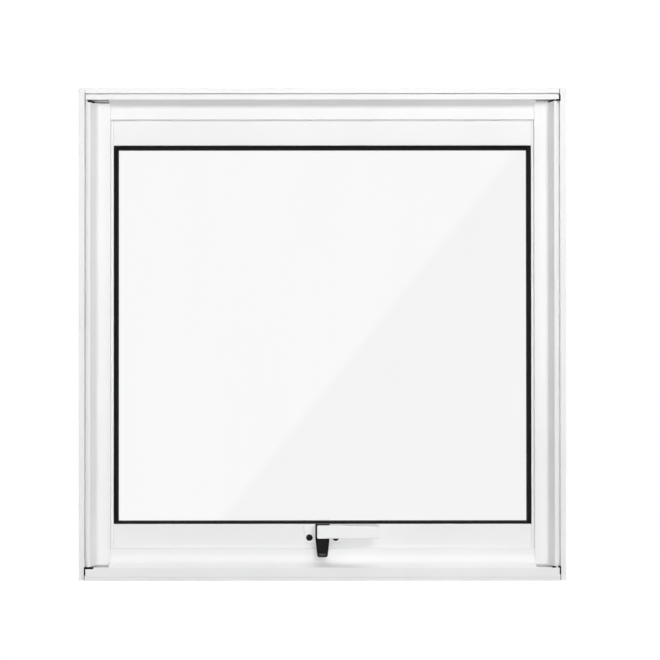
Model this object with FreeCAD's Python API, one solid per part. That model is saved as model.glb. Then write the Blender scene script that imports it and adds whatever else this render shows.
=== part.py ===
import FreeCAD, Part
import math
import os

from FreeCAD import Placement, Rotation, Vector

# Top hung awning window, closed, millimetres. +X is right and +Z is up as seen from the room.
# +Y points outdoors. The origin is the middle of the sill's underside.
# A section is drawn with u from the window's outer edge inward and v from the nose's front outdoors.

# Whole window
WIDTH = 594.0
HEIGHT = 600.0
FRAME_DEPTH = 60.0

# Frame extrusions: tube, flange, trim groove, nose, sloped wall and stop
FRAME_WALL = 1.5
JAMB_BAND = 10.2
JAMB_FLANGE = 6.8
JAMB_NOSE = 10.9
HEAD_BAND = 7.5
HEAD_FLANGE = 5.9
HEAD_NOSE = 8.6
FLANGE_SETBACK = 4.0
TRIM_DEPTH = 8.0
NOSE_EDGE = 14.5
SLOPE_RUN = 6.6
SIGHTLINE = 36.7
STOP_SETBACK = 14.0
STOP_THICK = 1.6
STOP_DEPTH = 3.6
NOSE_ROUND = 0.8
COVE_ROUND = 5.0

# The sill has a plain front with a low step in place of the trim groove
SILL_STEP = 3.8
SILL_SETBACK = 1.0
SILL_EDGE = 16.0
SILL_COVE = 12.0

# Seal groove behind the stop
GROOVE_WIDTH = 5.0
GROOVE_RIB = 1.5
SEAL_HEIGHT = 3.2
SEAL_PLAY = 0.2

# Corner joints of the frame
BAND_JOINT = 0.3
NOSE_JOINT = 2.0
SILL_JOINT = 1.0
STOP_JOINT = 0.2

# Wall fixing holes through the jambs
FIXING_RADIUS = 3.25
FIXING_FROM_BACK = 8.5
FIXING_FROM_END = 150.0

# Sash extrusions
SASH_WALL = 1.5
SASH_DEPTH = 25.0
STAY_GAP = 13.0
RAIL_GAP = 4.5
STILE_WIDTH = 16.5
RAIL_HEIGHT = 54.8
CHANNEL_DEPTH = 8.0
CHANNEL_LEG = 2.0
SASH_ROUND = 0.6
REBATE_WIDTH = 0.6
REBATE_DEPTH = 1.2
SASH_DROP = 0.8
FIN_THICK = 2.0
FIN_GAP = 2.0

# Glass and its gasket
GLASS_THICK = 4.0
GASKET_LIP = 5.0
GASKET_BED = 1.5
GASKET_SHOW = 5.0
GASKET_SHOW_LOW = 3.0

# Friction stays
STAY_LENGTH = 260.0
STAY_FROM_TOP = 40.0
TRACK_WIDTH = 18.0
TRACK_HEIGHT = 3.5
TRACK_WALL = 1.2
SLIDER_LENGTH = 34.0
SLIDER_PLAY = 0.2
ARM_WIDTH = 14.0
ARM_THICK = 2.5
ARM_LENGTH = 190.0
SASH_BAR_WIDTH = 16.0
SASH_BAR_THICK = 2.0
STAY_RIVET = 4.0

# Latch
LATCH_HEIGHT = 59.6
BASE_WIDTH = 50.0
BASE_TOP = 6.2
BASE_DROP = 16.1
BASE_THICK = 3.0
BASE_CHAMFER = 0.8
EAR_SPACING = 32.5
EAR_DROP = 9.7
EAR_RADIUS = 6.0
EAR_HOLE = 2.1
EAR_SINK = 4.1
BOSS_RADIUS = 6.0
SPINDLE_RADIUS = 3.0
SPINDLE_PLAY = 0.05
TONGUE_REACH = 31.2
TONGUE_RISE = 8.8
TONGUE_WIDTH = 17.4
TONGUE_TIP = 12.3
TONGUE_THICK = 7.0
TONGUE_CLEAR = 5.3
TONGUE_SLACK = 0.3
LIP_RISE = 1.2
LIP_RAMP = 2.4
LIP_FLAT = 1.6
LEVER_LENGTH = 69.0
LEVER_BACK = 6.5
LEVER_HEIGHT = 15.3
LEVER_TIP_HEIGHT = 14.2
LEVER_THICK = 8.0
LEVER_CRANK = 3.0
LEVER_TIP_THICK = 5.5
LEVER_ROUND = 2.0

# Derived positions
Y0 = -(SILL_SETBACK + FRAME_DEPTH) / 2
STOP_BACK = STOP_SETBACK + STOP_DEPTH
TRIM_FLOOR = FLANGE_SETBACK + TRIM_DEPTH
GROOVE_FLOOR = STOP_SETBACK + STOP_THICK
GROOVE_OUT = SIGHTLINE - GROOVE_RIB
GROOVE_IN = GROOVE_OUT - GROOVE_WIDTH
SASH_FRONT = GROOVE_FLOOR + SEAL_HEIGHT
SASH_BACK = SASH_FRONT + SASH_DEPTH
CHANNEL_FRONT = SASH_FRONT + CHANNEL_LEG
GLASS_FRONT = CHANNEL_FRONT + GASKET_LIP
GLASS_BACK = GLASS_FRONT + GLASS_THICK
CHANNEL_BACK = GLASS_BACK + GASKET_LIP
STILE_OUT = JAMB_BAND + STAY_GAP
STILE_IN = STILE_OUT + STILE_WIDTH
RAIL_OUT = HEAD_BAND + RAIL_GAP
RAIL_IN = RAIL_OUT + RAIL_HEIGHT
STILE_FLOOR = STILE_IN - CHANNEL_DEPTH
RAIL_FLOOR = RAIL_IN - CHANNEL_DEPTH
TONGUE_BACK = STOP_SETBACK - TONGUE_CLEAR
TONGUE_FRONT = TONGUE_BACK - TONGUE_THICK
LEVER_FRONT = TONGUE_FRONT - LEVER_THICK


def outline(corners):
    """Closed wire in the u, v plane through corners (u, v, radius); a radius rounds its corner."""
    edges = []
    last = None
    first = None
    count = len(corners)
    for i in range(count):
        here = Vector(corners[i][0], corners[i][1], 0)
        radius = corners[i][2] if len(corners[i]) > 2 else 0.0
        to_prev = Vector(corners[i - 1][0], corners[i - 1][1], 0).sub(here).normalize()
        after = corners[(i + 1) % count]
        to_next = Vector(after[0], after[1], 0).sub(here).normalize()
        start = here
        end = here
        if radius > 0:
            half = to_prev.getAngle(to_next) / 2
            reach = radius / math.tan(half)
            start = here + to_prev * reach
            end = here + to_next * reach
            bisector = (to_prev + to_next).normalize()
            middle = here + bisector * (radius / math.sin(half) - radius)
        if last is not None:
            edges.append(Part.makeLine(last, start))
        else:
            first = start
        if radius > 0:
            edges.append(Part.Arc(start, middle, end).toShape())
        last = end
    edges.append(Part.makeLine(last, first))
    return Part.Wire(edges)


def bar(corners, low, high, holes=()):
    """Solid with the section `corners` less `holes`, running from low to high along its length."""
    face = Part.Face(outline(corners))
    for hole in holes:
        face = face.cut(Part.Face(outline(hole))).Faces[0]
    face.translate(Vector(0, 0, low))
    return face.extrude(Vector(0, 0, high - low))


def block(u0, u1, v0, v1, low, high):
    """Box in section coordinates."""
    return Part.makeBox(u1 - u0, v1 - v0, high - low, Vector(u0, v0, low))


def rectangle(u0, u1, v0, v1, radius=0.0):
    return [(u0, v0, radius), (u1, v0, radius), (u1, v1, radius), (u0, v1, radius)]


SIDES = {
    "left": (0.0, Vector(-WIDTH / 2, Y0, 0)),
    "top": (90.0, Vector(-WIDTH / 2, Y0, HEIGHT)),
    "right": (180.0, Vector(WIDTH / 2, Y0, HEIGHT)),
    "bottom": (-90.0, Vector(WIDTH / 2, Y0, 0)),
}


def seat(shape, side):
    """Turns a bar drawn for the left side about Y to the side it belongs to."""
    angle, base = SIDES[side]
    placed = shape.copy()
    placed.Placement = Placement(base, Rotation(Vector(0, 1, 0), angle))
    return placed


def nose_and_stop(band, nose, edge, cove, low, high):
    """Nose, sloped inner wall and stop with the seal groove behind it, and the nose's chamber."""
    slope = edge + SLOPE_RUN
    contour = [
        (nose, 0, NOSE_ROUND),
        (edge, 0, NOSE_ROUND),
        (slope, STOP_SETBACK, cove),
        (SIGHTLINE, STOP_SETBACK, SASH_ROUND),
        (SIGHTLINE, STOP_BACK),
        (GROOVE_OUT, STOP_BACK),
        (GROOVE_OUT, GROOVE_FLOOR),
        (GROOVE_IN, GROOVE_FLOOR),
        (GROOVE_IN, STOP_BACK),
        (GROOVE_IN - GROOVE_RIB, STOP_BACK),
        (GROOVE_IN - GROOVE_RIB, GROOVE_FLOOR),
        (slope, GROOVE_FLOOR),
        (slope, STOP_BACK),
        (band, STOP_BACK),
        (band, TRIM_FLOOR),
        (nose, TRIM_FLOOR),
    ]
    lean = SLOPE_RUN / STOP_SETBACK
    wall_across = FRAME_WALL * math.hypot(1, lean)
    inner = edge - wall_across
    corner = STOP_SETBACK - (FRAME_WALL - wall_across + FRAME_WALL) / lean
    outer = max(nose + FRAME_WALL, band)
    chamber = [
        (outer, FRAME_WALL),
        (inner + lean * FRAME_WALL, FRAME_WALL),
        (inner + lean * corner, corner),
        (inner + lean * corner, STOP_BACK - FRAME_WALL),
        (outer, STOP_BACK - FRAME_WALL),
    ]
    return bar(contour, low, high), bar(chamber, low - 1, high + 1)


def outer_tube(band, flange, front, low, high):
    """Tube along the window's outer edge and its chamber; its front is a flange beside the trim groove."""
    wall = FRAME_WALL
    if flange < band:
        contour = [
            (0, front, SASH_ROUND),
            (flange, front, SASH_ROUND),
            (flange, TRIM_FLOOR),
            (band, TRIM_FLOOR),
            (band, FRAME_DEPTH, SASH_ROUND),
            (0, FRAME_DEPTH, SASH_ROUND),
        ]
        chamber = [
            (wall, front + wall),
            (flange - wall, front + wall),
            (flange - wall, TRIM_FLOOR + wall),
            (band - wall, TRIM_FLOOR + wall),
            (band - wall, FRAME_DEPTH - wall),
            (wall, FRAME_DEPTH - wall),
        ]
    else:
        contour = rectangle(0, band, front, FRAME_DEPTH, SASH_ROUND)
        chamber = rectangle(wall, band - wall, front + wall, FRAME_DEPTH - wall)
    return bar(contour, low, high), bar(chamber, low - 1, high + 1)


def jamb():
    """Tube over the full height; nose and stop are cut square between the noses of sill and head."""
    tube, tube_chamber = outer_tube(JAMB_BAND, JAMB_FLANGE, FLANGE_SETBACK, 0, HEIGHT)
    low = SILL_EDGE + SILL_JOINT
    high = HEIGHT - NOSE_EDGE - NOSE_JOINT
    nose, nose_chamber = nose_and_stop(JAMB_BAND, JAMB_NOSE, NOSE_EDGE, COVE_ROUND, low, high)
    shape = tube.fuse(nose).cut(nose_chamber).cut(tube_chamber)
    for height in (FIXING_FROM_END, HEIGHT - FIXING_FROM_END):
        start = Vector(-1, FRAME_DEPTH - FIXING_FROM_BACK, height)
        shape = shape.cut(Part.makeCylinder(FIXING_RADIUS, JAMB_BAND + 2, start, Vector(1, 0, 0)))
    return shape.removeSplitter()


def cross_bar(flange, front, nose, edge, cove):
    """Head or sill: its tube butts the jambs' tubes, its nose stops short of their flanges and its
    slope and stop are cut back to fit between the jambs' stops."""
    low = JAMB_FLANGE + BAND_JOINT
    tube, tube_chamber = outer_tube(HEAD_BAND, flange, front, low, WIDTH - low)
    nose_low = JAMB_FLANGE + NOSE_JOINT
    profile, nose_chamber = nose_and_stop(HEAD_BAND, nose, edge, cove, nose_low, WIDTH - nose_low)
    shape = tube.fuse(profile).cut(nose_chamber).cut(tube_chamber)
    cope = SIGHTLINE + STOP_JOINT
    for cope_low, butt_low in ((0, 0), (WIDTH - cope, WIDTH - JAMB_BAND)):
        coped = block(edge, SIGHTLINE + 1, -1, STOP_BACK + 1, cope_low, cope_low + cope)
        behind = TRIM_FLOOR - BAND_JOINT
        butted = block(-1, SIGHTLINE, behind, FRAME_DEPTH + 1, butt_low, butt_low + JAMB_BAND)
        shape = shape.cut(coped).cut(butted)
    return shape.removeSplitter()


def frame_seal(low, high):
    """Bulb seal with its foot in the groove and its crown on the sash."""
    foot_in = GROOVE_IN + SEAL_PLAY
    foot_out = GROOVE_OUT - SEAL_PLAY
    crown = (foot_out - foot_in) / 4
    shoulder = STOP_BACK + SEAL_PLAY
    corners = [
        (foot_in, GROOVE_FLOOR),
        (foot_out, GROOVE_FLOOR),
        (foot_out, shoulder, SASH_ROUND),
        (foot_out - crown, SASH_FRONT, SASH_ROUND),
        (foot_in + crown, SASH_FRONT, SASH_ROUND),
        (foot_in, shoulder, SASH_ROUND),
    ]
    return bar(corners, low, high)


def sash_bar(outer, inner, low, high, fin_edge=None):
    """Hollow sash bar with the glazing channel towards the glass. A stile has a fin over the stay gap,
    a rail has a fine rebate where its ends meet the stiles."""
    floor = inner - CHANNEL_DEPTH
    corners = [
        (outer, SASH_FRONT, SASH_ROUND),
        (inner, SASH_FRONT, SASH_ROUND),
        (inner, CHANNEL_FRONT),
        (floor, CHANNEL_FRONT),
        (floor, CHANNEL_BACK),
        (inner, CHANNEL_BACK),
        (inner, SASH_BACK, SASH_ROUND),
    ]
    if fin_edge is None:
        corners.append((outer, SASH_BACK, SASH_ROUND))
    else:
        corners.append((fin_edge, SASH_BACK, SASH_ROUND))
        corners.append((fin_edge, SASH_BACK - FIN_THICK, SASH_ROUND))
        corners.append((outer, SASH_BACK - FIN_THICK))
    chamber = [
        (outer + SASH_WALL, SASH_FRONT + SASH_WALL),
        (floor - SASH_WALL, SASH_FRONT + SASH_WALL),
        (floor - SASH_WALL, CHANNEL_BACK + SASH_WALL),
        (inner - SASH_WALL, CHANNEL_BACK + SASH_WALL),
        (inner - SASH_WALL, SASH_BACK - SASH_WALL),
        (outer + SASH_WALL, SASH_BACK - SASH_WALL),
    ]
    shape = bar(corners, low, high, [chamber])
    if fin_edge is None:
        for end in (low, high - REBATE_WIDTH):
            line = block(outer, inner, SASH_FRONT, SASH_FRONT + REBATE_DEPTH, end, end + REBATE_WIDTH)
            shape = shape.cut(line)
    return shape


def gasket(floor, show, length, low_end, high_end):
    """Gasket round one edge of the glass, with a rounded lip on each face. Each end is mitred to a
    neighbour, given as (its floor, its show)."""
    inner = floor + CHANNEL_DEPTH
    tip = inner + show
    edge = floor + GASKET_BED
    bulge = math.sqrt(0.5)

    def lip(root, glass):
        middle = Vector(inner + show * bulge, glass + (root - glass) * bulge, 0)
        return Part.Arc(Vector(inner, root, 0), middle, Vector(tip, glass, 0)).toShape()

    def run(*points):
        corners = [Vector(u, v, 0) for u, v in points]
        return [Part.makeLine(a, b) for a, b in zip(corners, corners[1:])]

    bed = run((inner, CHANNEL_BACK), (floor, CHANNEL_BACK), (floor, CHANNEL_FRONT), (inner, CHANNEL_FRONT))
    seat_faces = run((tip, GLASS_FRONT), (edge, GLASS_FRONT), (edge, GLASS_BACK), (tip, GLASS_BACK))
    edges = bed + [lip(CHANNEL_FRONT, GLASS_FRONT)] + seat_faces + [lip(CHANNEL_BACK, GLASS_BACK)]
    section = Part.Face(Part.Wire(Part.__sortEdges__(edges)))
    low = low_end[0]
    high = length - high_end[0]
    section.translate(Vector(0, 0, low))
    strip = section.extrude(Vector(0, 0, high - low))
    tip_low = low + CHANNEL_DEPTH + low_end[1]
    tip_high = high - CHANNEL_DEPTH - high_end[1]
    mitre = [(floor, low), (floor, high), (tip, tip_high), (tip, tip_low)]
    points = [Vector(u, CHANNEL_FRONT - 1, at) for u, at in mitre]
    trimmer = Part.Face(Part.makePolygon(points + points[:1]))
    return strip.common(trimmer.extrude(Vector(0, CHANNEL_BACK - CHANNEL_FRONT + 2, 0)))


def glass():
    half = WIDTH / 2 - STILE_FLOOR - GASKET_BED
    low = RAIL_FLOOR + GASKET_BED
    corner = Vector(-half, Y0 + GLASS_FRONT, low - SASH_DROP)
    return Part.makeBox(2 * half, GLASS_THICK, HEIGHT - 2 * low, corner)


def flat_bar(u0, thick, width, low, high):
    """Flat bar with round ends, lying in the stay gap."""
    middle = (SASH_FRONT + SASH_BACK - FIN_THICK) / 2
    half = width / 2
    shape = block(u0, u0 + thick, middle - half, middle + half, low + half, high - half)
    for end in (low + half, high - half):
        shape = shape.fuse(Part.makeCylinder(half, thick, Vector(u0, middle, end), Vector(1, 0, 0)))
    return shape.removeSplitter()


def stay():
    """Track on the jamb, slider in it, arm on the slider and a bar on the stile, all folded flat."""
    middle = (SASH_FRONT + SASH_BACK - FIN_THICK) / 2
    high = HEIGHT - STAY_FROM_TOP
    low = high - STAY_LENGTH
    half = TRACK_WIDTH / 2
    base = JAMB_BAND
    rim = base + TRACK_HEIGHT
    channel = [
        (base, middle - half),
        (rim, middle - half),
        (rim, middle - half + TRACK_WALL),
        (base + TRACK_WALL, middle - half + TRACK_WALL),
        (base + TRACK_WALL, middle + half - TRACK_WALL),
        (rim, middle + half - TRACK_WALL),
        (rim, middle + half),
        (base, middle + half),
    ]
    track = bar(channel, low, high)
    slide = half - TRACK_WALL - SLIDER_PLAY
    slider_top = high - SLIDER_LENGTH / 2
    shoe = rectangle(base + TRACK_WALL, rim + TRACK_WALL, middle - slide, middle + slide, SASH_ROUND)
    slider = bar(shoe, slider_top - SLIDER_LENGTH, slider_top)
    arm_face = rim + TRACK_WALL
    pivot = slider_top - SLIDER_LENGTH / 2
    arm_top = pivot + ARM_WIDTH / 2
    arm = flat_bar(arm_face, ARM_THICK, ARM_WIDTH, arm_top - ARM_LENGTH, arm_top)
    bar_face = STILE_OUT - SASH_BAR_THICK
    collar = Vector(arm_face + ARM_THICK, middle, arm_top - ARM_LENGTH + ARM_WIDTH / 2)
    arm = arm.fuse(Part.makeCylinder(STAY_RIVET, bar_face - collar.x, collar, Vector(1, 0, 0)))
    sash_plate = flat_bar(bar_face, SASH_BAR_THICK, SASH_BAR_WIDTH, low, high)
    return {"track": track, "slider": slider, "arm": arm, "sash_bar": sash_plate}


def front_plate(corners, front, back):
    """Plate with an outline of (x, z, radius) about the latch pivot, from depth front to depth back."""
    face = Part.Face(outline(corners))
    plate = face.extrude(Vector(0, 0, back - front))
    plate.Placement = Placement(Vector(0, Y0 + back, LATCH_HEIGHT), Rotation(Vector(1, 0, 0), 90))
    return plate


def pin(radius, front, back, x=0.0, z=0.0):
    """Round bar along Y from depth front to depth back, placed from the latch pivot."""
    start = Vector(x, Y0 + front, LATCH_HEIGHT + z)
    return Part.makeCylinder(radius, back - front, start, Vector(0, 1, 0))


def rim(shape, depth):
    """Sharp edges round the front of a latch piece, at this depth or before it."""
    found = []
    for edge in shape.Edges:
        normals = []
        for face in shape.ancestorsOfType(edge, Part.Face):
            u, v = face.Surface.parameter(edge.CenterOfMass)
            normals.append(face.normalAt(u, v))
        before = all(vertex.Point.y < Y0 + depth + 1e-4 for vertex in edge.Vertexes)
        if before and normals[0].getAngle(normals[-1]) > 0.5:
            found.append(edge)
    return found


def latch_base():
    """Plate with two screw ears, sunk screw holes and a round boss that carries the spindle."""
    face = SASH_FRONT - BASE_THICK
    ear = EAR_SPACING / 2
    side = ear + EAR_RADIUS
    corners = [
        (-BASE_WIDTH / 2, BASE_TOP, EAR_RADIUS / 3),
        (-side, EAR_RADIUS - EAR_DROP, EAR_RADIUS),
        (-side, -BASE_DROP, EAR_RADIUS / 2),
        (side, -BASE_DROP, EAR_RADIUS / 2),
        (side, EAR_RADIUS - EAR_DROP, EAR_RADIUS),
        (BASE_WIDTH / 2, BASE_TOP, EAR_RADIUS / 3),
    ]
    plate = front_plate(corners, face, SASH_FRONT)
    plate = plate.makeChamfer(BASE_CHAMFER, rim(plate, face))
    shape = plate.fuse(pin(BOSS_RADIUS, TONGUE_BACK + TONGUE_SLACK, SASH_FRONT))
    for x in (-ear, ear):
        shape = shape.cut(pin(EAR_HOLE, face - 1, SASH_FRONT + 1, x, -EAR_DROP))
        start = Vector(x, Y0 + face, LATCH_HEIGHT - EAR_DROP)
        sink = Part.makeCone(EAR_SINK, EAR_HOLE, EAR_SINK - EAR_HOLE, start, Vector(0, 1, 0))
        shape = shape.cut(sink)
    bore = pin(SPINDLE_RADIUS + SPINDLE_PLAY, TONGUE_BACK - 1, SASH_FRONT + 1)
    return shape.cut(bore).removeSplitter()


def latch_tongue():
    """Tapered hook that hangs behind the lever, with a ramped lip across its tip."""
    half = TONGUE_WIDTH / 2
    tip = TONGUE_TIP / 2
    front_view = [
        (-half, TONGUE_RISE, SASH_ROUND),
        (-half, -LEVER_HEIGHT / 2, LEVER_HEIGHT / 2),
        (-tip, -TONGUE_REACH, tip / 2),
        (tip, -TONGUE_REACH, tip / 2),
        (half, -LEVER_HEIGHT / 2, LEVER_HEIGHT / 2),
        (half, TONGUE_RISE, SASH_ROUND),
    ]
    lip = TONGUE_FRONT - LIP_RISE
    side_view = [
        (TONGUE_RISE, TONGUE_FRONT),
        (LIP_FLAT + LIP_RAMP - TONGUE_REACH, TONGUE_FRONT, SASH_ROUND),
        (LIP_FLAT - TONGUE_REACH, lip, SASH_ROUND),
        (-TONGUE_REACH, lip, SASH_ROUND),
        (-TONGUE_REACH, TONGUE_BACK, SASH_ROUND),
        (TONGUE_RISE, TONGUE_BACK),
    ]
    side = bar(side_view, -half - 1, half + 1)
    side.Placement = Placement(Vector(0, Y0, LATCH_HEIGHT), Rotation(Vector(0, 1, 0), -90))
    shape = front_plate(front_view, lip - 1, TONGUE_BACK + 1).common(side)
    shape = shape.cut(pin(SPINDLE_RADIUS + SPINDLE_PLAY, TONGUE_FRONT - 1, TONGUE_BACK + 1))
    return shape.removeSplitter()


def latch_lever():
    """Cranked handle: the side view is extruded and trimmed to the tapered front view."""
    half = LEVER_HEIGHT / 2
    tip = LEVER_TIP_HEIGHT / 2
    front_view = [
        (-LEVER_BACK, half, LEVER_ROUND),
        (-LEVER_BACK, -half, LEVER_ROUND),
        (LEVER_LENGTH, -tip, tip / 2),
        (LEVER_LENGTH, tip, tip / 2),
    ]
    far = LEVER_FRONT - LEVER_CRANK
    plan = [
        (-LEVER_BACK, TONGUE_FRONT),
        (TONGUE_WIDTH, TONGUE_FRONT, LEVER_LENGTH / 4),
        (LEVER_LENGTH, far + LEVER_TIP_THICK),
        (LEVER_LENGTH, far),
        (TONGUE_WIDTH, LEVER_FRONT, LEVER_LENGTH / 4),
        (-LEVER_BACK, LEVER_FRONT),
    ]
    side = bar(plan, -half, half)
    side.Placement = Placement(Vector(0, Y0, LATCH_HEIGHT), Rotation())
    shape = front_plate(front_view, far - 1, TONGUE_FRONT + 1).common(side)
    shape = shape.makeFillet(LEVER_ROUND / 2, rim(shape, LEVER_FRONT))
    bore = pin(SPINDLE_RADIUS + SPINDLE_PLAY, LEVER_FRONT + LEVER_THICK / 2, TONGUE_FRONT + 1)
    return shape.cut(bore).removeSplitter()


def latch_spindle():
    front = LEVER_FRONT + LEVER_THICK / 2 + TONGUE_SLACK
    return pin(SPINDLE_RADIUS, front, SASH_FRONT)


def mirrored(shape):
    return shape.mirror(Vector(0, 0, 0), Vector(1, 0, 0))


def hung(shape, side):
    """Seats a sash piece and lowers it by the drop of the hanging sash."""
    placed = seat(shape, side)
    placed.translate(Vector(0, 0, -SASH_DROP))
    return placed


parts = {}
parts["frame_jamb_left"] = seat(jamb(), "left")
parts["frame_jamb_right"] = mirrored(parts["frame_jamb_left"])
head = cross_bar(HEAD_FLANGE, FLANGE_SETBACK, HEAD_NOSE, NOSE_EDGE, COVE_ROUND)
sill = cross_bar(HEAD_BAND, SILL_SETBACK, SILL_STEP, SILL_EDGE, SILL_COVE)
parts["frame_head"] = seat(head, "top")
parts["frame_sill"] = seat(sill, "bottom")
for side in ("left", "right"):
    parts["frame_seal_" + side] = seat(frame_seal(GROOVE_IN, HEIGHT - GROOVE_IN), side)
    stile = sash_bar(STILE_OUT, STILE_IN, RAIL_OUT, HEIGHT - RAIL_OUT, JAMB_BAND + FIN_GAP)
    parts["sash_stile_" + side] = hung(stile, side)
upright = gasket(STILE_FLOOR, GASKET_SHOW, HEIGHT, (RAIL_FLOOR, GASKET_SHOW_LOW), (RAIL_FLOOR, GASKET_SHOW))
parts["gasket_left"] = hung(upright, "left")
parts["gasket_right"] = mirrored(parts["gasket_left"])
for side, show in (("top", GASKET_SHOW), ("bottom", GASKET_SHOW_LOW)):
    cope = SIGHTLINE + STOP_JOINT
    parts["frame_seal_" + side] = seat(frame_seal(cope, WIDTH - cope), side)
    rail = sash_bar(RAIL_OUT, RAIL_IN, STILE_IN, WIDTH - STILE_IN)
    parts["sash_" + side + "_rail"] = hung(rail, side)
    corner = (STILE_FLOOR, GASKET_SHOW)
    parts["gasket_" + side] = hung(gasket(RAIL_FLOOR, show, WIDTH, corner, corner), side)
parts["glass_pane"] = glass()
for name, shape in stay().items():
    placed = seat(shape, "left")
    parts["stay_" + name + "_left"] = placed
    parts["stay_" + name + "_right"] = mirrored(placed)
parts["latch_base"] = latch_base()
parts["latch_spindle"] = latch_spindle()
parts["latch_tongue"] = latch_tongue()
parts["latch_lever"] = latch_lever()

os.makedirs("parts", exist_ok=True)
for name, shape in parts.items():
    shape.exportStep("parts/" + name + ".step")
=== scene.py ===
import math

import bmesh
import bpy
from mathutils import Matrix, Vector


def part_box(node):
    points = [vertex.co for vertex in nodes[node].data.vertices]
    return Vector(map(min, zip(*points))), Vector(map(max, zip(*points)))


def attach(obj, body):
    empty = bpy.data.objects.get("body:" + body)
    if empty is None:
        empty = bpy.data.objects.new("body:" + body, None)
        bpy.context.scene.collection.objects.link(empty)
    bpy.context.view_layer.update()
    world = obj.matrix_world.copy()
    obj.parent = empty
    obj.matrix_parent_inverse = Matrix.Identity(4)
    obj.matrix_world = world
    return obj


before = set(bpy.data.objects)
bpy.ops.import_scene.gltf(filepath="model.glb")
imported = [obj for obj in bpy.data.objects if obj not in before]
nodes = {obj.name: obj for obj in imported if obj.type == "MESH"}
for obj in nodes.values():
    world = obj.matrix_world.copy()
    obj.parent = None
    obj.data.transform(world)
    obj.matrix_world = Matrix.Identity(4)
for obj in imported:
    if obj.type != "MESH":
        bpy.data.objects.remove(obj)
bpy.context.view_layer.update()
scene = bpy.context.scene


# Materials

def new_material(name):
    mat = bpy.data.materials.new(name)
    mat.use_nodes = True
    tree = mat.node_tree
    shader = tree.nodes["Principled BSDF"]
    return mat, tree, shader


def link(tree, a, b):
    tree.links.new(a, b)


def stretched(tree, scale):
    """Object coordinates in metres, scaled per axis."""
    coords = tree.nodes.new("ShaderNodeTexCoord")
    mapping = tree.nodes.new("ShaderNodeMapping")
    mapping.inputs["Scale"].default_value = scale
    link(tree, coords.outputs["Object"], mapping.inputs["Vector"])
    return mapping.outputs["Vector"]


def noise(tree, vector, scale, detail=3.0, roughness=0.55):
    n = tree.nodes.new("ShaderNodeTexNoise")
    n.inputs["Scale"].default_value = scale
    n.inputs["Detail"].default_value = detail
    n.inputs["Roughness"].default_value = roughness
    link(tree, vector, n.inputs["Vector"])
    return n.outputs["Fac"]


def ramp(tree, value, stops):
    """Colour between stops, each given as (position, colour)."""
    r = tree.nodes.new("ShaderNodeValToRGB")
    while len(r.color_ramp.elements) > 1:
        r.color_ramp.elements.remove(r.color_ramp.elements[-1])
    for i, (at, colour) in enumerate(stops):
        e = r.color_ramp.elements[0] if i == 0 else r.color_ramp.elements.new(at)
        e.position = at
        e.color = (*colour, 1.0)
    link(tree, value, r.inputs["Fac"])
    return r.outputs["Color"]


def spread(tree, value, low, high, from_low=0.3, from_high=0.7):
    """Maps the range from_low to from_high onto low to high, and holds the ends."""
    m = tree.nodes.new("ShaderNodeMapRange")
    m.inputs["From Min"].default_value = from_low
    m.inputs["From Max"].default_value = from_high
    m.inputs["To Min"].default_value = low
    m.inputs["To Max"].default_value = high
    link(tree, value, m.inputs["Value"])
    return m.outputs["Result"]


def maths(tree, operation, a, b):
    m = tree.nodes.new("ShaderNodeMath")
    m.operation = operation
    for socket, value in zip(m.inputs, (a, b)):
        if isinstance(value, (int, float)):
            socket.default_value = value
        else:
            link(tree, value, socket)
    return m.outputs["Value"]


def mixed(tree, factor, a, b):
    """Colour a where the factor is 0 and b where it is 1."""
    m = tree.nodes.new("ShaderNodeMix")
    m.data_type = "RGBA"
    link(tree, factor, m.inputs["Factor"])
    # Inputs 6 and 7 and output 2 are the node's colour sockets.
    for socket, value in ((m.inputs[6], a), (m.inputs[7], b)):
        if isinstance(value, tuple):
            socket.default_value = (*value, 1.0)
        else:
            link(tree, value, socket)
    return m.outputs[2]


def bump(tree, height, strength, distance, under=None):
    """Normal with this height on it, laid over the normal `under` if there is one."""
    b = tree.nodes.new("ShaderNodeBump")
    b.inputs["Strength"].default_value = strength
    b.inputs["Distance"].default_value = distance
    link(tree, height, b.inputs["Height"])
    if under is not None:
        link(tree, under, b.inputs["Normal"])
    return b.outputs["Normal"]


def powder_coat(name, end_axis=None, lift=0.0):
    """White powder coat: slow shade drift, orange peel and fine grain.

    Saw cut ends across end_axis are bare metal. A lift makes the white brighter.
    """
    mat, tree, shader = new_material(name)
    flat = stretched(tree, (1, 1, 1))
    drift = noise(tree, flat, 9.0, 2.0)
    peel = noise(tree, flat, 520.0, 2.0, 0.4)
    grain = noise(tree, flat, 2600.0, 2.0, 0.6)
    dull = (0.855 + lift, 0.857 + lift, 0.86 + lift)
    bright = (0.885 + lift, 0.885 + lift, 0.883 + lift)
    colour = ramp(tree, drift, [(0.3, dull), (0.7, bright)])
    rough = spread(tree, peel, 0.36, 0.46)
    if end_axis is not None:
        geometry = tree.nodes.new("ShaderNodeNewGeometry")
        split = tree.nodes.new("ShaderNodeSeparateXYZ")
        link(tree, geometry.outputs["True Normal"], split.inputs["Vector"])
        across = maths(tree, "ABSOLUTE", split.outputs[end_axis], 0.0)
        cut = maths(tree, "GREATER_THAN", across, 0.98)
        saw = noise(tree, stretched(tree, (900, 60, 900)), 1.0, 3.0)
        bare = ramp(tree, saw, [(0.3, (0.50, 0.50, 0.51)), (0.7, (0.66, 0.66, 0.67))])
        colour = mixed(tree, cut, colour, bare)
        link(tree, maths(tree, "MULTIPLY", cut, 0.85), shader.inputs["Metallic"])
    link(tree, colour, shader.inputs["Base Color"])
    link(tree, rough, shader.inputs["Roughness"])
    normal = bump(tree, peel, 0.10, 0.0003)
    link(tree, bump(tree, grain, 0.05, 0.0001, normal), shader.inputs["Normal"])
    return mat


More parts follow.
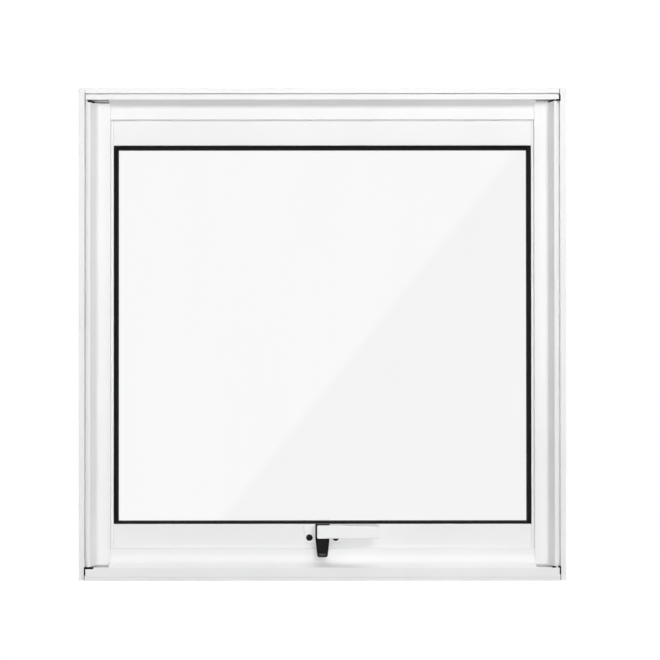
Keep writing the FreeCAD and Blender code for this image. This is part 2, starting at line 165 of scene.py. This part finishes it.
def rubber(name, along):
    """Black extruded rubber with faint lines along its length and a dull bloom."""
    mat, tree, shader = new_material(name)
    scale = [1500.0, 1500.0, 1500.0]
    scale[along] = 6.0
    lines = noise(tree, stretched(tree, scale), 1.0, 2.0)
    bloom = noise(tree, stretched(tree, (1, 1, 1)), 60.0, 3.0)
    colour = ramp(tree, bloom, [(0.3, (0.004, 0.004, 0.0045)), (0.7, (0.009, 0.009, 0.0095))])
    shader.inputs["Specular IOR Level"].default_value = 0.16
    link(tree, colour, shader.inputs["Base Color"])
    link(tree, spread(tree, bloom, 0.42, 0.56), shader.inputs["Roughness"])
    link(tree, bump(tree, lines, 0.2, 0.0002), shader.inputs["Normal"])
    return mat


def nylon(name, painted_highlight_height=None):
    """Moulded black nylon with a fine spark texture. A lip at the given height gets a painted highlight:
    a pale band that stands in for light caught on the lip.
    """
    mat, tree, shader = new_material(name)
    flat = stretched(tree, (1, 1, 1))
    spark = noise(tree, flat, 1400.0, 3.0)
    cloud = noise(tree, flat, 90.0)
    colour = ramp(tree, cloud, [(0.3, (0.006, 0.006, 0.0065)), (0.7, (0.012, 0.012, 0.0125))])
    if painted_highlight_height is not None:
        half_width = 0.0046
        half_height = 0.0013
        split = tree.nodes.new("ShaderNodeSeparateXYZ")
        link(tree, flat, split.inputs["Vector"])
        across = maths(tree, "DIVIDE", maths(tree, "ABSOLUTE", split.outputs["X"], 0.0), half_width)
        along = maths(tree, "SUBTRACT", split.outputs["Z"], painted_highlight_height)
        along = maths(tree, "DIVIDE", maths(tree, "ABSOLUTE", along, 0.0), half_height)
        # Painted highlight: pale colour on the tongue's lip in place of light it catches, broken up by
        # the spark texture.
        patch = spread(tree, maths(tree, "MAXIMUM", across, along), 1.0, 0.0, 0.7, 1.1)
        painted_highlight = maths(tree, "MULTIPLY", patch, spread(tree, spark, 0.6, 1.0))
        colour = mixed(tree, painted_highlight, colour, (0.085, 0.085, 0.085))
    shader.inputs["Specular IOR Level"].default_value = 0.2
    link(tree, colour, shader.inputs["Base Color"])
    link(tree, spread(tree, spark, 0.38, 0.55), shader.inputs["Roughness"])
    link(tree, bump(tree, spark, 0.25, 0.0002), shader.inputs["Normal"])
    return mat


def brushed(name, along, light=0.62, dark=0.48):
    """Brushed metal with streaks along one axis."""
    mat, tree, shader = new_material(name)
    scale = [2600.0, 2600.0, 2600.0]
    scale[along] = 25.0
    streaks = noise(tree, stretched(tree, scale), 1.0, 3.0)
    colour = ramp(tree, streaks, [(0.3, (dark, dark, dark)), (0.7, (light, light, light * 0.99))])
    shader.inputs["Metallic"].default_value = 1.0
    link(tree, colour, shader.inputs["Base Color"])
    link(tree, spread(tree, streaks, 0.26, 0.42), shader.inputs["Roughness"])
    link(tree, bump(tree, streaks, 0.15, 0.0001), shader.inputs["Normal"])
    return mat


def clear_glass(name):
    """Float glass with a faint green tint and a trace of wiping marks. Lamps shine through it."""
    mat, tree, shader = new_material(name)
    wipe = noise(tree, stretched(tree, (14, 1, 3)), 1.0, 3.0)
    colour = ramp(tree, wipe, [(0.3, (0.93, 0.937, 0.933)), (0.7, (0.94, 0.945, 0.942))])
    link(tree, colour, shader.inputs["Base Color"])
    link(tree, spread(tree, wipe, 0.0, 0.015), shader.inputs["Roughness"])
    shader.inputs["Transmission Weight"].default_value = 1.0
    shader.inputs["IOR"].default_value = 1.5
    through = tree.nodes.new("ShaderNodeBsdfTransparent")
    through.inputs["Color"].default_value = (0.9, 0.92, 0.91, 1.0)
    path = tree.nodes.new("ShaderNodeLightPath")
    mix = tree.nodes.new("ShaderNodeMixShader")
    link(tree, path.outputs["Is Shadow Ray"], mix.inputs["Fac"])
    link(tree, shader.outputs["BSDF"], mix.inputs[1])
    link(tree, through.outputs["BSDF"], mix.inputs[2])
    link(tree, mix.outputs["Shader"], tree.nodes["Material Output"].inputs["Surface"])
    return mat


def dark_screw(name):
    """Blackened steel screw."""
    mat, tree, shader = new_material(name)
    worn = noise(tree, stretched(tree, (1, 1, 1)), 700.0, 3.0)
    colour = ramp(tree, worn, [(0.35, (0.010, 0.010, 0.010)), (0.75, (0.035, 0.034, 0.033))])
    shader.inputs["Metallic"].default_value = 0.5
    link(tree, colour, shader.inputs["Base Color"])
    link(tree, spread(tree, worn, 0.32, 0.5), shader.inputs["Roughness"])
    link(tree, bump(tree, worn, 0.15, 0.0001), shader.inputs["Normal"])
    return mat


X_AXIS, Y_AXIS, Z_AXIS = 0, 1, 2
lip_rise = 0.0030
white_upright = powder_coat("white powder coat, upright bars", "Z")
white_level = powder_coat("white powder coat, level bars", "X")
white_latch = powder_coat("white latch paint", lift=0.05)
rubber_upright = rubber("black rubber, upright strips", Z_AXIS)
rubber_level = rubber("black rubber, level strips", X_AXIS)
stay_steel = brushed("stay steel", Z_AXIS)
pin_steel = brushed("pin steel", Y_AXIS)
zinc = brushed("zinc plated screws", X_AXIS, light=0.72, dark=0.6)
black_nylon = nylon("black nylon")
tongue_nylon = nylon("black nylon, latch tongue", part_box("latch_tongue")[0].z + lip_rise)
glass = clear_glass("clear glass")
screw_black = dark_screw("black screw")

# A node takes the first entry that its name starts with.
by_name = {
    "frame_head": white_level,
    "frame_sill": white_level,
    "frame_jamb": white_upright,
    "sash_top_rail": white_level,
    "sash_bottom_rail": white_level,
    "sash_stile": white_upright,
    "frame_seal_top": rubber_level,
    "frame_seal_bottom": rubber_level,
    "frame_seal": rubber_upright,
    "gasket_top": rubber_level,
    "gasket_bottom": rubber_level,
    "gasket": rubber_upright,
    "glass_pane": glass,
    "stay_slider": black_nylon,
    "stay_": stay_steel,
    "latch_base": white_latch,
    "latch_lever": white_latch,
    "latch_spindle": pin_steel,
    "latch_tongue": tongue_nylon,
}
for name, obj in nodes.items():
    start = next(s for s in by_name if name.startswith(s))
    obj.data.materials.clear()
    obj.data.materials.append(by_name[start])


# Small fasteners

def lathe(profile, segments):
    """Mesh from (radius, height) points turned about Z; the first and last points lie on the axis."""
    bm = bmesh.new()
    turns = [2 * math.pi * i / segments for i in range(segments)]
    rings = []
    for radius, height in profile:
        if radius < 1e-7:
            points = [(0, 0, height)]
        else:
            points = [(radius * math.cos(a), radius * math.sin(a), height) for a in turns]
        rings.append([bm.verts.new(p) for p in points])
    for low, high in zip(rings, rings[1:]):
        for i in range(segments):
            j = (i + 1) % segments
            corners = [low[i % len(low)], low[j % len(low)]]
            corners += [high[j % len(high)], high[i % len(high)]]
            bm.faces.new(list(dict.fromkeys(corners)))
    bmesh.ops.recalc_face_normals(bm, faces=bm.faces)
    return bm


def to_object(bm, name):
    mesh = bpy.data.meshes.new(name)
    bm.to_mesh(mesh)
    bm.free()
    obj = bpy.data.objects.new(name, mesh)
    scene.collection.objects.link(obj)
    return obj


def cross_bit(reach, arm, depth, top):
    """Tapered cross that cuts the driver recess."""
    overshoot = 0.0005
    floor_share = 0.55
    bm = bmesh.new()
    outline = [
        (arm, arm), (arm, reach), (-arm, reach), (-arm, arm), (-reach, arm), (-reach, -arm),
        (-arm, -arm), (-arm, -reach), (arm, -reach), (arm, -arm), (reach, -arm), (reach, arm),
    ]
    rims = []
    for height, share in ((top + overshoot, 1.0), (top - depth, floor_share)):
        rims.append([bm.verts.new((x * share, y * share, height)) for x, y in outline])
    bm.faces.new(rims[0])
    bm.faces.new(list(reversed(rims[1])))
    for i in range(len(outline)):
        j = (i + 1) % len(outline)
        bm.faces.new([rims[0][i], rims[0][j], rims[1][j], rims[1][i]])
    bmesh.ops.recalc_face_normals(bm, faces=bm.faces)
    return to_object(bm, "bit")


def oval_screw(name, radius, crown, shank, depth):
    """Oval head screw with a cross recess, its head's rim at height 0 and its shank below."""
    slope = radius - shank
    dome = radius * 0.97
    steps = 5
    profile = [(0.0, -depth), (shank, -depth), (shank, -slope), (radius, 0.0), (dome, crown * 0.2)]
    for i in range(1, steps + 1):
        angle = i / steps * math.pi / 2
        profile.append((dome * math.cos(angle), crown * (0.2 + 0.8 * math.sin(angle))))
    profile[-1] = (0.0, crown)
    head = to_object(lathe(profile, 40), name)
    bit = cross_bit(reach=radius * 0.58, arm=radius * 0.13, depth=radius * 0.5, top=crown)
    cut = head.modifiers.new("recess", "BOOLEAN")
    cut.object = bit
    cut.solver = "EXACT"
    graph = bpy.context.evaluated_depsgraph_get()
    mesh = bpy.data.meshes.new_from_object(head.evaluated_get(graph))
    head.modifiers.clear()
    head.data = mesh
    bpy.data.objects.remove(bit)
    return head


def place(obj, at, towards, turn):
    """Puts a screw's rim at a point with its head facing a direction and its recess turned."""
    spin = Matrix.Rotation(turn, 4, "Z")
    face = Vector(towards).to_track_quat("Z", "Y").to_matrix().to_4x4()
    obj.data.transform(Matrix.Translation(at) @ face @ spin)


ear_x = 0.01625
ear_rise = 0.0064
base_thick = 0.003
ear_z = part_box("latch_base")[0].z + ear_rise
base_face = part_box("sash_bottom_rail")[0].y - base_thick
for side, x, turn in (("left", -ear_x, 0.5), ("right", ear_x, 1.1)):
    screw = oval_screw("latch_screw_" + side, radius=0.0041, crown=0.0012, shank=0.0020, depth=0.006)
    place(screw, (x, base_face, ear_z), (0, -1, 0), turn)
    screw.data.materials.append(screw_black)
    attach(screw, "window")

screw_inset = 0.00375
room_row = -0.008
outdoor_row = 0.019
jamb_low, jamb_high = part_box("frame_jamb_left")
for side, x, out in (("left", jamb_low.x, -1), ("right", -jamb_low.x, 1)):
    for level, z in (("low", screw_inset), ("high", jamb_high.z - screw_inset)):
        for row, y in (("room", room_row), ("outdoor", outdoor_row)):
            name = "corner_screw_" + side + "_" + level + "_" + row
            screw = oval_screw(name, radius=0.0033, crown=0.0003, shank=0.0018, depth=0.0014)
            # The recesses stop at different angles, as driven screws do.
            place(screw, (x, y, z), (out, 0, 0), 0.4 + 90 * y + 30 * z)
            screw.data.materials.append(zinc)
            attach(screw, "window")


# Black beads laid in the corner joints of the frame, which make the joints show dark

def sealant(name, path):
    """Bead along (point, half width) stations, with a rounded face towards the room."""
    arc_steps = 7
    bulge = 0.45
    root_share = 0.8
    root = Vector((0, 0.0009, 0))
    bm = bmesh.new()
    rings = []
    for i, (point, half) in enumerate(path):
        before = path[max(i - 1, 0)][0]
        after = path[min(i + 1, len(path) - 1)][0]
        across = Vector((before.z - after.z, 0.0, after.x - before.x)).normalized()
        ring = []
        for step in range(arc_steps + 1):
            a = math.pi * step / arc_steps
            forward = Vector((0, -bulge * half * math.sin(a), 0))
            ring.append(point + across * half * math.cos(a) + forward)
        ring.append(point + across * -root_share * half + root)
        ring.append(point + across * root_share * half + root)
        rings.append([bm.verts.new(v) for v in ring])
    for low, high in zip(rings, rings[1:]):
        for i in range(len(low)):
            j = (i + 1) % len(low)
            bm.faces.new([low[i], low[j], high[j], high[i]])
    bm.faces.new(rings[0])
    bm.faces.new(list(reversed(rings[-1])))
    bmesh.ops.recalc_face_normals(bm, faces=bm.faces)
    for f in bm.faces:
        f.smooth = len(f.verts) == 4
    return to_object(bm, name)


# Sizes of the joints in millimetres, measured from the frame's side, from its top or bottom,
# and from the front of its nose.
gap_middle = 7.8
hairline = 7.2
hairline_half = 0.45
nose_edge = 14.5
slope_run = 6.6
stop_depth = 14.0
flange_depth = 4.0
sill_step = 1.0
taper = 0.7
tip_share = 0.4
sunk = 0.25


def taper_run(start, end, half, turns=()):
    """Stations of a bead with thin ends, as (distance, half width)."""
    low = start + taper
    high = end - taper
    inner = sorted([low, high] + [t for t in turns if low < t < high])
    return [(start, tip_share * half)] + [(t, half) for t in inner] + [(end, tip_share * half)]


def level_bead(start, end, height, half, on_slope):
    """Bead in the joint between a jamb and a level bar.

    It follows the jamb's slope, or stays on the bar's nose.
    """
    stations = []
    for u, wide in taper_run(start, end, half, (nose_edge, nose_edge + slope_run)):
        slope = min(max((u - nose_edge) / slope_run, 0.0), 1.0) if on_slope else 0.0
        stations.append((u, height, sunk + stop_depth * slope, wide))
    return stations


def upright_bead(start, end, half, tail_start, tail_depth):
    """Bead in the gap between a jamb's flange and the end of a level bar's nose.

    A thin tail runs on along the hairline joint between the jamb and the level bar's outer edge.
    """
    tail_end = start - 2 * taper
    tail = [(hairline, w, tail_depth + sunk / 2, hairline_half) for w in (tail_start, tail_end)]
    return tail + [(gap_middle, w, 2 * sunk, wide) for w, wide in taper_run(start, end, half)]


beads = {
    ("left", "high"): [
        level_bead(11.2, 18.6, 16.5, 1.35, True),
        level_bead(18.0, 36.4, 16.1, 0.6, True),
    ],
    ("right", "high"): [
        upright_bead(8.2, 16.4, 1.25, 1.2, flange_depth),
        level_bead(7.6, 12.2, 15.1, 1.2, True),
        level_bead(15.0, 20.0, 15.4, 1.1, True),
    ],
    ("left", "low"): [
        level_bead(7.2, 18.8, 15.4, 1.35, False),
        upright_bead(6.0, 16.4, 0.95, 0.6, sill_step),
    ],
    ("right", "low"): [
        upright_bead(7.6, 17.4, 0.95, 0.6, sill_step),
        level_bead(7.4, 10.4, 16.7, 1.1, False),
        level_bead(12.8, 17.8, 16.8, 1.1, False),
    ],
}
nose_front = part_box("frame_head")[0].y
for (side, level), runs in beads.items():
    for number, run in enumerate(runs, 1):
        path = []
        for u, w, depth, half in run:
            x = jamb_low.x + u / 1000
            y = nose_front + depth / 1000
            z = w / 1000 if level == "low" else jamb_high.z - w / 1000
            path.append((Vector((x if side == "left" else -x, y, z)), half / 1000))
        bead = sealant("sealant_" + side + "_" + level + "_" + str(number), path)
        bead.data.materials.append(rubber_upright)
        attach(bead, "window")


# Floor, light and camera

def emission(tree, colour, strength):
    e = tree.nodes.new("ShaderNodeEmission")
    e.inputs["Color"].default_value = (*colour, 1.0)
    e.inputs["Strength"].default_value = strength
    return e.outputs["Emission"]


def mix_shaders(tree, factor, a, b):
    mix = tree.nodes.new("ShaderNodeMixShader")
    link(tree, factor, mix.inputs["Fac"])
    link(tree, a, mix.inputs[1])
    link(tree, b, mix.inputs[2])
    return mix.outputs["Shader"]


def matt(tree, low, high):
    """Dull grey that drifts between two shades."""
    d = tree.nodes.new("ShaderNodeBsdfDiffuse")
    speck = noise(tree, stretched(tree, (1, 1, 1)), 40.0)
    link(tree, ramp(tree, speck, [(0.3, (low, low, low)), (0.7, (high, high, high))]), d.inputs["Color"])
    return d.outputs["BSDF"]


def make_floor():
    """White floor that keeps a soft shadow close to the window and fades to pure white."""
    half_size = 6.0
    fade_from = 0.3
    fade_to = 0.8
    bm = bmesh.new()
    bmesh.ops.create_grid(bm, x_segments=1, y_segments=1, size=half_size)
    floor = to_object(bm, "floor")
    mat = bpy.data.materials.new("pale floor")
    mat.use_nodes = True
    tree = mat.node_tree
    tree.nodes.remove(tree.nodes["Principled BSDF"])
    near = tree.nodes.new("ShaderNodeAddShader")
    link(tree, emission(tree, (1, 1, 1), 0.86), near.inputs[0])
    link(tree, matt(tree, 0.25, 0.27), near.inputs[1])
    coords = tree.nodes.new("ShaderNodeTexCoord")
    length = tree.nodes.new("ShaderNodeVectorMath")
    length.operation = "LENGTH"
    link(tree, coords.outputs["Object"], length.inputs[0])
    far = spread(tree, length.outputs["Value"], 0.0, 1.0, fade_from, fade_to)
    path = tree.nodes.new("ShaderNodeLightPath")
    white = maths(tree, "MULTIPLY", path.outputs["Is Camera Ray"], far)
    white = maths(tree, "MAXIMUM", white, path.outputs["Is Transmission Ray"])
    white = maths(tree, "MAXIMUM", white, path.outputs["Is Glossy Ray"])
    dull = matt(tree, 0.20, 0.24)
    lit = mix_shaders(tree, path.outputs["Is Camera Ray"], dull, near.outputs["Shader"])
    surface = mix_shaders(tree, white, lit, emission(tree, (1, 1, 1), 1.0))
    link(tree, surface, tree.nodes["Material Output"].inputs["Surface"])
    floor.data.materials.append(mat)
    floor.visible_glossy = False


def make_world(ambient):
    """Background that is white to the camera and in gloss and glass, and lights little else."""
    world = bpy.data.worlds.new("studio")
    world.use_nodes = True
    scene.world = world
    tree = world.node_tree
    background = tree.nodes["Background"]
    background.inputs["Color"].default_value = (1, 1, 1, 1)
    path = tree.nodes.new("ShaderNodeLightPath")
    seen = maths(tree, "MAXIMUM", path.outputs["Is Camera Ray"], path.outputs["Is Glossy Ray"])
    seen = maths(tree, "MAXIMUM", seen, path.outputs["Is Transmission Ray"])
    link(tree, spread(tree, seen, ambient, 1.0, 0.0, 1.0), background.inputs["Strength"])


def area(name, at, target, size, power):
    """Rectangular lamp that shows in no reflection and not through the glass."""
    lamp = bpy.data.lights.new(name, "AREA")
    lamp.shape = "RECTANGLE"
    lamp.size, lamp.size_y = size
    lamp.energy = power
    obj = bpy.data.objects.new(name, lamp)
    scene.collection.objects.link(obj)
    obj.location = at
    obj.rotation_euler = (Vector(target) - Vector(at)).to_track_quat("-Z", "Y").to_euler()
    obj.visible_glossy = False
    obj.visible_transmission = False


def make_card(bright, dim):
    """Large two-tone card in front of the window, seen only in reflections."""
    half_size = 3.0
    card_height = 0.3
    soft_edge = 0.012
    bm = bmesh.new()
    bmesh.ops.create_grid(bm, x_segments=1, y_segments=1, size=half_size)
    card = to_object(bm, "reflector card")
    card.data.transform(Matrix.Rotation(math.radians(90), 4, "X"))
    card.location = (0.0, -1.95, card_height)
    mat = bpy.data.materials.new("reflector card")
    mat.use_nodes = True
    tree = mat.node_tree
    tree.nodes.remove(tree.nodes["Principled BSDF"])
    coords = tree.nodes.new("ShaderNodeTexCoord")
    # The tones meet on a straight line through these two points.
    first = Vector((0.5272, 0.0, 0.8133 - card_height))
    last = Vector((-0.2935, 0.0, -0.2149 - card_height))
    run = (last - first).normalized()
    normal = Vector((-run.z, 0.0, run.x))
    dot = tree.nodes.new("ShaderNodeVectorMath")
    dot.operation = "DOT_PRODUCT"
    dot.inputs[1].default_value = normal
    link(tree, coords.outputs["Object"], dot.inputs[0])
    middle = first.dot(normal)
    tone = spread(tree, dot.outputs["Value"], bright, dim, middle - soft_edge, middle + soft_edge)
    e = tree.nodes.new("ShaderNodeEmission")
    link(tree, tone, e.inputs["Strength"])
    link(tree, e.outputs["Emission"], tree.nodes["Material Output"].inputs["Surface"])
    card.data.materials.append(mat)
    card.visible_camera = False
    card.visible_diffuse = False
    card.visible_transmission = False
    card.visible_shadow = False


make_floor()
make_world(ambient=0.03)
make_card(bright=1.0, dim=0.0)
area("front", at=(0.0, -4.5, 0.30), target=(0, 0, 4.6), size=(0.8, 0.8), power=156)
area("wide", at=(0.65, -2.45, 0.95), target=(0, 0, 0.3), size=(3.0, 3.0), power=11.4)
area("key", at=(0.75, -2.2, 1.35), target=(0, 0, 0.1), size=(0.35, 0.35), power=15.2)
area("top", at=(0.0, -0.35, 3.4), target=(0, 0, 0.2), size=(3.0, 0.5), power=34)
area("outdoor left", at=(-2.1, 2.2, 1.1), target=(0, 0, 0.3), size=(1.5, 1.5), power=48)
area("outdoor right", at=(2.1, 2.2, 1.1), target=(0, 0, 0.3), size=(1.5, 1.5), power=48)

camera = bpy.data.cameras.new("camera")
camera.sensor_width = 36.0
camera.lens = 67.26
eye = bpy.data.objects.new("camera", camera)
scene.collection.objects.link(eye)
eye.location = (0.0093, -1.5305, 0.2961)
eye.rotation_euler = (math.radians(90.33), math.radians(0.035), 0)
scene.camera = eye
scene.view_settings.view_transform = "Standard"
